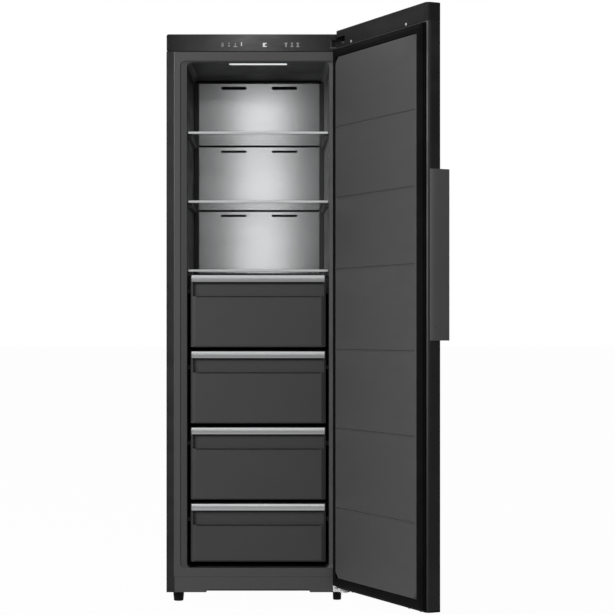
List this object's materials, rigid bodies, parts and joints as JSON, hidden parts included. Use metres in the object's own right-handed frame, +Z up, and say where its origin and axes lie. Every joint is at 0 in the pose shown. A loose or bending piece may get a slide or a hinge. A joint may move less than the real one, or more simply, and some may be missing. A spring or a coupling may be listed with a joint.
{
  "type": "upright freezer",
  "caption": "Upright freezer with its tall door swung open, glass shelves before a brushed plate, drawers with pale pull bars, ceiling light and a strip handle on the door edge",
  "frame": {"origin": "on the floor, under the middle of the bounding box of the whole object as it stands with its door open", "axes": "+X to the right seen from the front, +Y to the back, +Z up"},
  "size_m": [0.8662, 1.161, 1.85],
  "materials": {
    "dark_steel": "satin",
    "zinc_steel": "satin",
    "brushed_plate": "satin",
    "grip_silver": "satin",
    "trim_silver": "satin",
    "fin_aluminium": "satin",
    "copper": "satin",
    "black_enamel": "satin",
    "grey_liner": "matte",
    "drawer_grey": "satin",
    "black_plastic": "satin",
    "pale_plastic": "matte",
    "lens": "gloss",
    "black_rubber": "matte",
    "anthracite": "satin",
    "foam": "matte",
    "clear_glass": "polished"
  },
  "bodies": {
    "cabinet": {"outer_case": "dark_steel", "rear_panel": "zinc_steel", "cabinet_base": "zinc_steel", "compressor_tray": "zinc_steel", "upper_hinge_bracket": "zinc_steel", "lower_hinge_bracket": "zinc_steel", "roller_bracket_left": "zinc_steel", "roller_bracket_right": "zinc_steel", "inner_liner": "grey_liner", "toe_panel": "grey_liner", "insulation_foam": "foam", "control_panel": "black_plastic", "fan_motor": "black_plastic", "terminal_box": "black_plastic", "ceiling_light_lens": "lens", "condenser_left": "copper", "condenser_right": "copper", "filter_dryer": "copper", "discharge_pipe": "copper", "suction_pipe": "copper", "cooling_plate": "brushed_plate", "air_duct_cover": "drawer_grey", "evaporator_coil": "fin_aluminium", "defrost_heater": "fin_aluminium", "fan_shroud": "pale_plastic", "drain_tray": "pale_plastic", "compressor": "black_enamel", "cord_gland": "black_rubber"},
    "door": {"door_outer_panel": "dark_steel", "door_liner": "grey_liner", "door_foam": "foam", "door_top_cap": "black_plastic", "door_bottom_cap": "black_plastic", "door_upper_bush": "pale_plastic", "door_lower_bush": "pale_plastic", "door_gasket": "black_rubber", "door_handle": "anthracite"},
    "shelf_1": {"shelf_1_glass": "clear_glass", "shelf_1_front_trim": "trim_silver"},
    "shelf_2": {"shelf_2_glass": "clear_glass", "shelf_2_front_trim": "trim_silver"},
    "shelf_3": {"shelf_3_glass": "clear_glass", "shelf_3_front_trim": "trim_silver"},
    "drawer_1": {"drawer_1_bin": "drawer_grey", "drawer_1_front": "drawer_grey", "drawer_1_grip": "grip_silver"},
    "drawer_2": {"drawer_2_bin": "drawer_grey", "drawer_2_front": "drawer_grey", "drawer_2_grip": "grip_silver"},
    "drawer_3": {"drawer_3_bin": "drawer_grey", "drawer_3_front": "drawer_grey", "drawer_3_grip": "grip_silver"},
    "drawer_4": {"drawer_4_bin": "drawer_grey", "drawer_4_front": "drawer_grey", "drawer_4_grip": "grip_silver"},
    "fan": {"fan_wheel": "pale_plastic"},
    "foot_left": {"front_foot_left": "black_plastic"},
    "roller_left": {"rear_roller_left": "black_plastic"},
    "foot_right": {"front_foot_right": "black_plastic"},
    "roller_right": {"rear_roller_right": "black_plastic"}
  },
  "joints": [
    {"name": "door_hinge", "type": "hinge", "parent": "cabinet", "child": "door", "pos_m": [0.14142, -0.05208, 0.9], "axis": [0, 0, 1], "range_deg": [-115, 5]},
    {"name": "drawer_1_slide", "type": "slide", "parent": "cabinet", "child": "drawer_1", "axis": [0, -1, 0], "range_m": [0, 0.36]},
    {"name": "drawer_2_slide", "type": "slide", "parent": "cabinet", "child": "drawer_2", "axis": [0, -1, 0], "range_m": [0, 0.36]},
    {"name": "drawer_3_slide", "type": "slide", "parent": "cabinet", "child": "drawer_3", "axis": [0, -1, 0], "range_m": [0, 0.36]},
    {"name": "drawer_4_slide", "type": "slide", "parent": "cabinet", "child": "drawer_4", "axis": [0, -1, 0], "range_m": [0, 0.26]},
    {"name": "shelf_1_slide", "type": "slide", "parent": "cabinet", "child": "shelf_1", "axis": [0, -1, 0], "range_m": [0, 0.3]},
    {"name": "shelf_2_slide", "type": "slide", "parent": "cabinet", "child": "shelf_2", "axis": [0, -1, 0], "range_m": [0, 0.3]},
    {"name": "shelf_3_slide", "type": "slide", "parent": "cabinet", "child": "shelf_3", "axis": [0, -1, 0], "range_m": [0, 0.3]},
    {"name": "fan_spin", "type": "hinge", "parent": "cabinet", "child": "fan", "pos_m": [-0.13558, 0.44792, 0.96], "axis": [0, 1, 0], "continuous": true},
    {"name": "roller_left_spin", "type": "hinge", "parent": "cabinet", "child": "roller_left", "pos_m": [-0.38558, 0.52692, 0.01531], "axis": [1, 0, 0], "continuous": true},
    {"name": "foot_left_turn", "type": "hinge", "parent": "cabinet", "child": "foot_left", "pos_m": [-0.39658, 0.04692, 0.03], "axis": [0, 0, 1], "range_deg": [-360, 360]},
    {"name": "roller_right_spin", "type": "hinge", "parent": "cabinet", "child": "roller_right", "pos_m": [0.11442, 0.52692, 0.01531], "axis": [1, 0, 0], "continuous": true},
    {"name": "foot_right_turn", "type": "hinge", "parent": "cabinet", "child": "foot_right", "pos_m": [0.12342, 0.06692, 0.03], "axis": [0, 0, 1], "range_deg": [-360, 360]}
  ]
}
